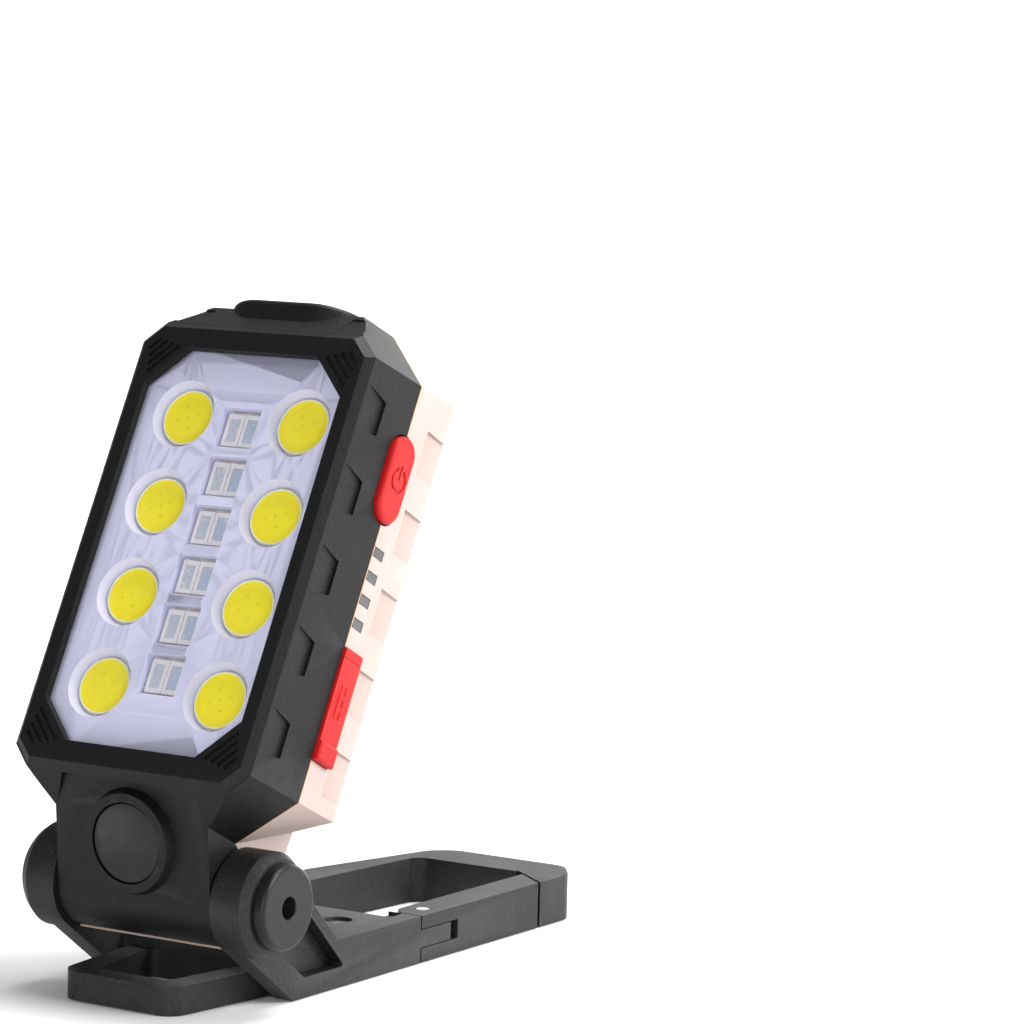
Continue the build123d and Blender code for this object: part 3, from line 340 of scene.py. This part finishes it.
def plated(name, bright, dull, rough, marks_per_mm, depth=0.15):
    """Bare or plated metal: bright colour, dulled colour, gloss range and marks."""
    material = bpy.data.materials.new(name)
    material.use_nodes = True
    tree = material.node_tree
    shader = tree.nodes["Principled BSDF"]
    shader.inputs["Metallic"].default_value = 1.0
    marks = tree.nodes.new("ShaderNodeGroup")
    marks.node_tree = marks_group
    marks.inputs["Marks per mm"].default_value = marks_per_mm
    tone = blend_colour(tree, marks.outputs["Marks"], bright, dull)
    tree.links.new(tone, shader.inputs["Base Color"])
    polish = tree.nodes.new("ShaderNodeMapRange")
    polish.inputs["To Min"].default_value = rough[0]
    polish.inputs["To Max"].default_value = rough[1]
    tree.links.new(marks.outputs["Marks"], polish.inputs["Value"])
    tree.links.new(polish.outputs["Result"], shader.inputs["Roughness"])
    bump = tree.nodes.new("ShaderNodeBump")
    bump.inputs["Strength"].default_value = depth
    bump.inputs["Distance"].default_value = 0.00002
    tree.links.new(marks.outputs["Marks"], bump.inputs["Height"])
    tree.links.new(bump.outputs["Normal"], shader.inputs["Normal"])
    return material


nickel = plated("nickel_plate", (0.74, 0.72, 0.68), (0.55, 0.53, 0.50), (0.16, 0.34), 2.0)
edge_break("base_magnets", 0.00012)
finish_with(nickel, "base_magnets")

# Gate pin and spring: a straight steel pin pressed through the gate's fork,
# and a small coil of spring wire round it that snaps the gate shut.
pin_steel = plated("pin_steel", (0.62, 0.62, 0.63), (0.42, 0.42, 0.44), (0.2, 0.38), 4.0)
spring_wire = plated("spring_wire", (0.48, 0.48, 0.50), (0.30, 0.30, 0.32), (0.25, 0.45), 6.0)
finish_with(pin_steel, "gate_pin")
finish_with(spring_wire, "gate_spring")
for face in nodes["gate_spring"].data.polygons:
    face.use_smooth = True

# Hinge bolt, nut and washers: zinc-plated steel, a hexagon socket screw through
# both arms. The bushes it turns in are sintered bronze, porous and a little oily.
zinc = plated("zinc_plate", (0.60, 0.62, 0.66), (0.46, 0.47, 0.50), (0.24, 0.42), 3.0)
bronze = plated("sintered_bronze", (0.50, 0.33, 0.16), (0.30, 0.19, 0.09), (0.35, 0.6), 8.0, 0.5)
edge_break("hinge_bolt", 0.00012)
edge_break("hinge_nut", 0.00015)
finish_with(zinc, "hinge_bolt", "hinge_nut", "hinge_washers")
finish_with(bronze, "neck_bushes")

# Pivot caps: black caps moulded smooth, pressed over the bolt ends, with a
# plain hole for the key.
cap_plastic = moulding(
    "cap_plastic", (0.008, 0.008, 0.009), (0.025, 0.025, 0.025), (0.003, 0.003, 0.003),
    (0.32, 0.42), 3.5, 0.25, shine=0.3,
)
edge_break("pivot_cap_left", 0.0002)
edge_break("pivot_cap_right", 0.0002)
finish_with(cap_plastic, "pivot_cap_left", "pivot_cap_right")

# Rear shell: the back half of the lamp head, moulded in pale tan ABS with a fine
# grain. Along its parting edge a thin amber line is painted in as a highlight fringe, and its inner corners
# carry a painted amber-brown shade.
def parting_line():
    """Mask of a thin strip under the parting plane, from its direction and height."""
    tree, given, out = named_group(
        "parting_line",
        [
            ("Out of the lens", "NodeSocketVector", (0.0, 0.0, 1.0)),
            ("Height mm", "NodeSocketFloat", 0.0),
            ("Strip mm", "NodeSocketFloat", 0.3),
        ],
        [("Strip", "NodeSocketFloat")],
    )
    along = tree.nodes.new("ShaderNodeVectorMath")
    along.operation = "DOT_PRODUCT"
    below = tree.nodes.new("ShaderNodeMath")
    below.operation = "SUBTRACT"
    strip = tree.nodes.new("ShaderNodeMapRange")
    strip.inputs["To Min"].default_value = 1.0
    strip.inputs["To Max"].default_value = 0.0
    tree.links.new(object_mm(tree), along.inputs[0])
    tree.links.new(given.outputs["Out of the lens"], along.inputs[1])
    tree.links.new(given.outputs["Height mm"], below.inputs[0])
    tree.links.new(along.outputs["Value"], below.inputs[1])
    tree.links.new(below.outputs[0], strip.inputs["Value"])
    tree.links.new(given.outputs["Strip mm"], strip.inputs["From Max"])
    tree.links.new(strip.outputs["Result"], out.inputs["Strip"])
    return tree


right_dir = Vector((1, 0, 0))
lens_faces = nodes["lens_cover"].data.polygons
out_dir = max((face for face in lens_faces if face.normal.y < -0.1), key=lambda face: face.area).normal.copy()
up_dir = out_dir.cross(right_dir)
parting_height = max(vert.co.dot(out_dir) for vert in nodes["rear_shell"].data.vertices)
tan = moulding(
    "tan_shell", (0.47, 0.37, 0.335), (0.55, 0.45, 0.41), (0.40, 0.22, 0.12),
    (0.38, 0.5), 4.0, 0.25, even=0.95,
)
# Painted highlight fringe: a thin amber strip just under the parting plane, fixed to the shell.
amber = tan.node_tree.nodes.new("ShaderNodeGroup")
amber.node_tree = parting_line()
amber.inputs["Out of the lens"].default_value = out_dir
amber.inputs["Height mm"].default_value = 1000 * parting_height
tan_shader = tan.node_tree.nodes["Principled BSDF"]
plain_tan = tan_shader.inputs["Base Color"].links[0].from_socket
tan_with_painted_fringe = blend_colour(tan.node_tree, amber.outputs["Strip"], plain_tan, (0.66, 0.30, 0.07))
tan.node_tree.links.new(tan_with_painted_fringe, tan_shader.inputs["Base Color"])
edge_break("rear_shell", 0.0003)
finish_with(tan, "rear_shell")

# Shell screws: four small blackened cross-head screws, driven from behind.
black_steel = plated("black_steel", (0.10, 0.10, 0.105), (0.05, 0.05, 0.05), (0.3, 0.5), 4.0)
edge_break("shell_screws", 0.0001)
finish_with(black_steel, "shell_screws")

# Battery: a cylindrical lithium cell in a blue shrink sleeve, with the bare
# steel can showing at both ends.
def cell_sleeve():
    """Blue sleeve along the cell, bare can at its ends."""
    material = moulding(
        "cell_sleeve", (0.03, 0.14, 0.42), (0.08, 0.22, 0.5), (0.02, 0.08, 0.25),
        (0.28, 0.4), 1.2, 0.2,
    )
    tree = material.node_tree
    shader = tree.nodes["Principled BSDF"]
    heights = [vert.co.dot(up_dir) for vert in nodes["battery_cell"].data.vertices]
    middle = (min(heights) + max(heights)) / 2
    sleeve_half = (max(heights) - min(heights)) / 2 - 0.0006
    along = tree.nodes.new("ShaderNodeVectorMath")
    along.operation = "DOT_PRODUCT"
    along.inputs[1].default_value = up_dir
    tree.links.new(object_mm(tree), along.inputs[0])
    bare = tree.nodes.new("ShaderNodeMath")
    bare.operation = "COMPARE"
    bare.inputs[1].default_value = 1000 * middle
    bare.inputs[2].default_value = 1000 * sleeve_half
    tree.links.new(along.outputs["Value"], bare.inputs[0])
    sleeve = shader.inputs["Base Color"].links[0].from_socket
    can = blend_colour(tree, bare.outputs[0], (0.62, 0.62, 0.62), sleeve)
    tree.links.new(can, shader.inputs["Base Color"])
    return material


finish_with(cell_sleeve(), "battery_cell")

# Control board: green glass-epoxy board on edge behind the button wall, with
# lighter copper runs under the solder mask.
def circuit_board(name, mask, run, gloss):
    """Solder mask over copper runs, which show as a lighter grid of lanes."""
    material = moulding(name, mask, run, mask, gloss, 2.0, 0.1)
    tree = material.node_tree
    shader = tree.nodes["Principled BSDF"]
    lanes = tree.nodes.new("ShaderNodeTexBrick")
    lanes.inputs["Scale"].default_value = 0.35
    lanes.inputs["Mortar Size"].default_value = 0.035
    lanes.inputs["Color1"].default_value = (0, 0, 0, 1)
    lanes.inputs["Color2"].default_value = (0, 0, 0, 1)
    lanes.inputs["Mortar"].default_value = (1, 1, 1, 1)
    turned_place = tree.nodes.new("ShaderNodeCombineXYZ")
    for axis, direction in (("X", up_dir), ("Y", out_dir + right_dir)):
        lane = tree.nodes.new("ShaderNodeVectorMath")
        lane.operation = "DOT_PRODUCT"
        lane.inputs[1].default_value = direction
        tree.links.new(object_mm(tree), lane.inputs[0])
        tree.links.new(lane.outputs["Value"], turned_place.inputs[axis])
    tree.links.new(turned_place.outputs[0], lanes.inputs["Vector"])
    plain = shader.inputs["Base Color"].links[0].from_socket
    copper = blend_colour(tree, lanes.outputs["Fac"], plain, run)
    tree.links.new(copper, shader.inputs["Base Color"])
    return material


green_board = circuit_board("green_board", (0.015, 0.13, 0.04), (0.05, 0.26, 0.08), (0.25, 0.35))
finish_with(green_board, "control_board")

# Switch, socket and pilot lamps on the board: a black tact switch with a white
# plunger, a stamped nickel socket shell, and four clear-topped pilot lamps.
switch_case = moulding(
    "switch_case", (0.02, 0.02, 0.02), (0.05, 0.05, 0.05), (0.01, 0.01, 0.01), (0.35, 0.5), 4.0, 0.2
)
plunger_nylon = moulding(
    "plunger_nylon", (0.80, 0.80, 0.77), (0.85, 0.85, 0.83), (0.6, 0.6, 0.58), (0.35, 0.45), 3.0, 0.1
)
pilot_lamp = moulding(
    "pilot_lamp", (0.75, 0.78, 0.70), (0.8, 0.82, 0.75), (0.5, 0.55, 0.4), (0.12, 0.2), 2.0, 0.05
)
edge_break("tact_switch", 0.00015)
edge_break("charging_socket", 0.00008)
finish_with(switch_case, "tact_switch")
finish_with(plunger_nylon, "switch_plunger")
finish_with(nickel, "charging_socket")
finish_with(pilot_lamp, "indicator_leds")

# Lamp board: an aluminium-backed board under white solder mask that carries the
# round lamps and the paired packages.
white_board = circuit_board("white_board", (0.82, 0.82, 0.88), (0.76, 0.76, 0.82), (0.3, 0.4))
finish_with(white_board, "led_board", "torch_board")


# Round lamps: a disc of yellow phosphor gel inside a pale moulded dam, with the
# chips just showing as darker spots under the gel.
def bodies_of(node_name):
    """Lowest and highest corner of each separate body, along the head's own axes."""
    work = bmesh.new()
    work.from_mesh(nodes[node_name].data)
    bmesh.ops.remove_doubles(work, verts=work.verts, dist=same_point)
    left = set(work.verts)
    found = []
    while left:
        queue = [left.pop()]
        corners = []
        while queue:
            vert = queue.pop()
            corners.append([vert.co.dot(axis) for axis in (right_dir, up_dir, out_dir)])
            for edge in vert.link_edges:
                other = edge.other_vert(vert)
                if other in left:
                    left.remove(other)
                    queue.append(other)
        found.append(([min(side) for side in zip(*corners)], [max(side) for side in zip(*corners)]))
    work.free()
    return sorted(found)


def head_point(across, along, out):
    """World point from the head's own axes."""
    return right_dir * across + up_dir * along + out_dir * out


def turned_piece(work, centre, base, profile, finishes, sides=40):
    """Lathe a profile of (radius, height) steps; each step has its own finish."""
    rings = []
    for radius, height in profile:
        if radius == 0:
            rings.append([work.verts.new(head_point(*centre, base + height))])
            continue
        ring = []
        for side in range(sides):
            turn = 2 * math.pi * side / sides
            spot = (centre[0] + radius * math.cos(turn), centre[1] + radius * math.sin(turn))
            ring.append(work.verts.new(head_point(*spot, base + height)))
        rings.append(ring)
    for step, finish in enumerate(finishes):
        low, high = rings[step], rings[step + 1]
        for side in range(sides):
            after = (side + 1) % sides
            if len(high) == 1:
                corners = (low[side], low[after], high[0])
            elif len(low) == 1:
                corners = (low[0], high[after], high[side])
            else:
                corners = (low[side], low[after], high[after], high[side])
            face = work.faces.new(corners)
            face.material_index = finish
            face.smooth = True


def finished_piece(work, name, materials, replaced):
    """Turn mesh work into a piece that rides on the head in place of CAD nodes."""
    bmesh.ops.recalc_face_normals(work, faces=work.faces)
    mesh = bpy.data.meshes.new(name)
    work.to_mesh(mesh)
    work.free()
    piece = bpy.data.objects.new(name, mesh)
    bpy.context.scene.collection.objects.link(piece)
    for material in materials:
        mesh.materials.append(material)
    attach(piece, "head")
    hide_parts(*replaced)
    return piece


phosphor = moulding(
    "yellow_phosphor", (0.93, 0.80, 0.0), (0.93, 0.80, 0.0), (0.80, 0.66, 0.0),
    (0.5, 0.6), 2.2, 0.2, specks=(0.90, 0.77, 0.0), even=0.96, shine=0.15,
)
dam = moulding(
    "lamp_dam", (0.86, 0.86, 0.60), (0.88, 0.88, 0.66), (0.78, 0.76, 0.40), (0.3, 0.4), 3.0, 0.1
)
chip = moulding(
    "lamp_chip", (0.86, 0.72, 0.0), (0.86, 0.72, 0.0), (0.80, 0.66, 0.0), (0.5, 0.6), 4.0, 0.1, shine=0.15
)
dam_w = 0.00028
gel_dip = 0.00012
chip_r = 0.00022
chip_ring_r = 0.0017
lamp_work = bmesh.new()
for low, high in bodies_of("cob_leds"):
    radius = (high[0] - low[0]) / 2
    tall = high[2] - low[2]
    middle = ((low[0] + high[0]) / 2, (low[1] + high[1]) / 2)
    gel_r = radius - dam_w
    lamp_profile = [
        (0, 0),
        (radius, 0),
        (radius, tall - 0.4 * dam_w),
        (radius - 0.2 * dam_w, tall - 0.1 * dam_w),
        (radius - 0.5 * dam_w, tall),
        (radius - 0.8 * dam_w, tall - 0.1 * dam_w),
        (gel_r, tall - gel_dip),
        (0.7 * gel_r, tall - 0.5 * gel_dip),
        (0.35 * gel_r, tall - 0.2 * gel_dip),
        (0, tall - 0.1 * gel_dip),
    ]
    turned_piece(lamp_work, middle, low[2], lamp_profile, (0, 0, 0, 0, 0, 0, 1, 1, 1))
    for spot in range(5):
        turn = math.radians(90 * spot + 20)
        reach = chip_ring_r if spot < 4 else 0
        centre = (middle[0] + reach * math.cos(turn), middle[1] + reach * math.sin(turn))
        chip_top = tall - 0.05 * gel_dip
        chip_low = tall - 3 * gel_dip
        chip_profile = [(0, chip_low), (chip_r, chip_low), (chip_r, chip_top), (0, chip_top)]
        turned_piece(lamp_work, centre, low[2], chip_profile, (2, 2, 2), 10)
finished_piece(lamp_work, "round_lamps", (dam, phosphor, chip), ["cob_leds"])


# Paired lamps: moulded packages, one red and one blue to a window. Each is a pale
# frame round a milky gel window, on gilt end pads.
def slab(work, low, high, finish):
    """One rectangular block along the head's own axes."""
    corners = [
        work.verts.new(head_point(x, v, n))
        for n in (low[2], high[2])
        for x, v in ((low[0], low[1]), (high[0], low[1]), (high[0], high[1]), (low[0], high[1]))
    ]
    walls = [(0, 3, 2, 1), (4, 5, 6, 7)] + [(i, (i + 1) % 4, (i + 1) % 4 + 4, i + 4) for i in range(4)]
    for wall in walls:
        work.faces.new([corners[i] for i in wall]).material_index = finish


frame_side = 0.0006
frame_end = 0.0010
pad_l = 0.00028
pad_rise = 0.00025
gel_depth = 0.00018
package = moulding(
    "package_frame", (0.80, 0.78, 0.80), (0.88, 0.86, 0.86), (0.45, 0.33, 0.25), (0.3, 0.42), 3.0, 0.15
)
gilt = plated("gilt_pad", (0.74, 0.60, 0.42), (0.60, 0.48, 0.34), (0.3, 0.45), 5.0)
for node_name, piece_name, gel_colour in (
    ("red_leds", "red_lamp_packages", (0.50, 0.56, 0.66)),
    ("blue_leds", "blue_lamp_packages", (0.42, 0.52, 0.70)),
):
    gel = moulding(
        piece_name + "_gel", gel_colour, (0.75, 0.75, 0.8), (0.35, 0.4, 0.5), (0.12, 0.22), 1.5, 0.1,
        specks=(0.7, 0.72, 0.78),
    )
    pack_work = bmesh.new()
    for low, high in bodies_of(node_name):
        gel_low = (low[0] + frame_side, low[1] + frame_end)
        gel_high = (high[0] - frame_side, high[1] - frame_end)
        top = high[2]
        pad_top = low[2] + pad_rise
        inner_low, inner_high = low[1] + pad_l, high[1] - pad_l
        slab(pack_work, (low[0], inner_low, low[2]), (gel_low[0], inner_high, top), 0)
        slab(pack_work, (gel_high[0], inner_low, low[2]), (high[0], inner_high, top), 0)
        slab(pack_work, (gel_low[0], inner_low, low[2]), (gel_high[0], gel_low[1], top), 0)
        slab(pack_work, (gel_low[0], gel_high[1], low[2]), (gel_high[0], inner_high, top), 0)
        slab(pack_work, (*gel_low, low[2]), (*gel_high, top - gel_depth), 1)
        for start, end in ((low[1], inner_low), (inner_high, high[1])):
            slab(pack_work, (low[0], start, low[2]), (high[0], end, pad_top), 2)
            riser_low = (low[0] + frame_side, start, pad_top)
            riser_high = (high[0] - frame_side, end, top - pad_rise)
            slab(pack_work, riser_low, riser_high, 2)
    packages = finished_piece(pack_work, piece_name, (package, gel, gilt), [node_name])
    softened = packages.modifiers.new("softened", "BEVEL")
    softened.width = 0.00005
    softened.segments = 2

# Reflector panel: white glossy moulding, one dish round each round lamp and a
# window round each pair. It looks cool lavender through the cover.
white = moulding(
    "white_reflector", (0.67, 0.67, 0.88), (0.67, 0.67, 0.88), (0.67, 0.67, 0.88),
    (0.30, 0.40), 1.0, 0.04, even=0.97,
)
finish_with(white, "reflector_panel")
weld_seams(nodes["reflector_panel"])
panel_split = nodes["reflector_panel"].modifiers.new("split", "EDGE_SPLIT")
panel_split.split_angle = math.radians(15)  # keeps the round dish walls smooth
panel_split.use_edge_sharp = False
even_faces(nodes["reflector_panel"])


# Covers of the lamp window and of the torch: polished clear polycarbonate,
# with the faint haze of fine wiping marks.
def clear_plastic(name, tint, haze):
    """Clear sheet: mostly open, with a glossy face and slightly uneven haze."""
    material = bpy.data.materials.new(name)
    material.use_nodes = True
    tree = material.node_tree
    shader = tree.nodes["Principled BSDF"]
    shader.inputs["Base Color"].default_value = (*tint, 1)
    shader.inputs["Specular IOR Level"].default_value = 0.8
    marks = tree.nodes.new("ShaderNodeGroup")
    marks.node_tree = marks_group
    marks.inputs["Marks per mm"].default_value = 0.6
    for socket, start, end in (("Alpha", haze[0], haze[1]), ("Roughness", 0.05, 0.12)):
        spread = tree.nodes.new("ShaderNodeMapRange")
        spread.inputs["To Min"].default_value = start
        spread.inputs["To Max"].default_value = end
        tree.links.new(marks.outputs["Marks"], spread.inputs["Value"])
        tree.links.new(spread.outputs["Result"], shader.inputs[socket])
    material.surface_render_method = "BLENDED"
    return material


finish_with(clear_plastic("clear_cover", (0.80, 0.80, 0.92), (0.015, 0.03)), "lens_cover")
finish_with(clear_plastic("torch_window", (0.85, 0.86, 0.9), (0.12, 0.16)), "torch_lens")

# Front shell, torch cup and badge: satin black ABS. The shell has a fine etched
# grain, and the badge is a plain disc pressed into the neck's ring.
satin_black = moulding(
    "satin_black", (0.004, 0.004, 0.0045), (0.028, 0.028, 0.029), (0.002, 0.002, 0.002),
    (0.42, 0.52), 4.0, 0.7, specks=(0.016, 0.016, 0.017), shine=0.27,
)
badge_plastic = moulding(
    "badge_plastic", (0.009, 0.009, 0.010), (0.05, 0.05, 0.05), (0.004, 0.004, 0.004),
    (0.32, 0.40), 3.0, 0.12, shine=0.3,
)
edge_break("front_shell", 0.0003)
edge_break("torch_housing", 0.00015)
edge_break("neck_badge", 0.00025)
finish_with(satin_black, "front_shell", "torch_housing")
finish_with(badge_plastic, "neck_badge")

# Torch lamp and its cup: a small square lamp under a metallised reflector,
# vapour-coated bright inside.
bright_cup = plated("bright_cup", (0.88, 0.88, 0.90), (0.80, 0.80, 0.82), (0.05, 0.12), 0.8, 0.05)
finish_with(bright_cup, "torch_reflector")
finish_with(phosphor, "torch_led")
for face in nodes["torch_reflector"].data.polygons:
    face.use_smooth = True

# Red silicone: the power button, the port cover that folds away, and the strap
# end that holds it. Matt, slightly dusty on the rims.
red = moulding(
    "red_silicone", (0.50, 0.008, 0.008), (0.58, 0.02, 0.018), (0.26, 0.005, 0.004),
    (0.42, 0.55), 2.5, 0.3, shine=0.25,
)
edge_break("power_button", 0.0002)
edge_break("port_cover", 0.00025)
edge_break("port_cover_anchor", 0.0002)
finish_with(red, "power_button", "port_cover", "port_cover_anchor")

# Charge windows: one smoked clear bar whose four teeth stand in the shell's slots.
smoke = moulding(
    "smoked_clear", (0.055, 0.058, 0.066), (0.16, 0.16, 0.17), (0.02, 0.02, 0.02), (0.12, 0.2), 1.5, 0.1
)
edge_break("charge_windows", 0.0001)
finish_with(smoke, "charge_windows")
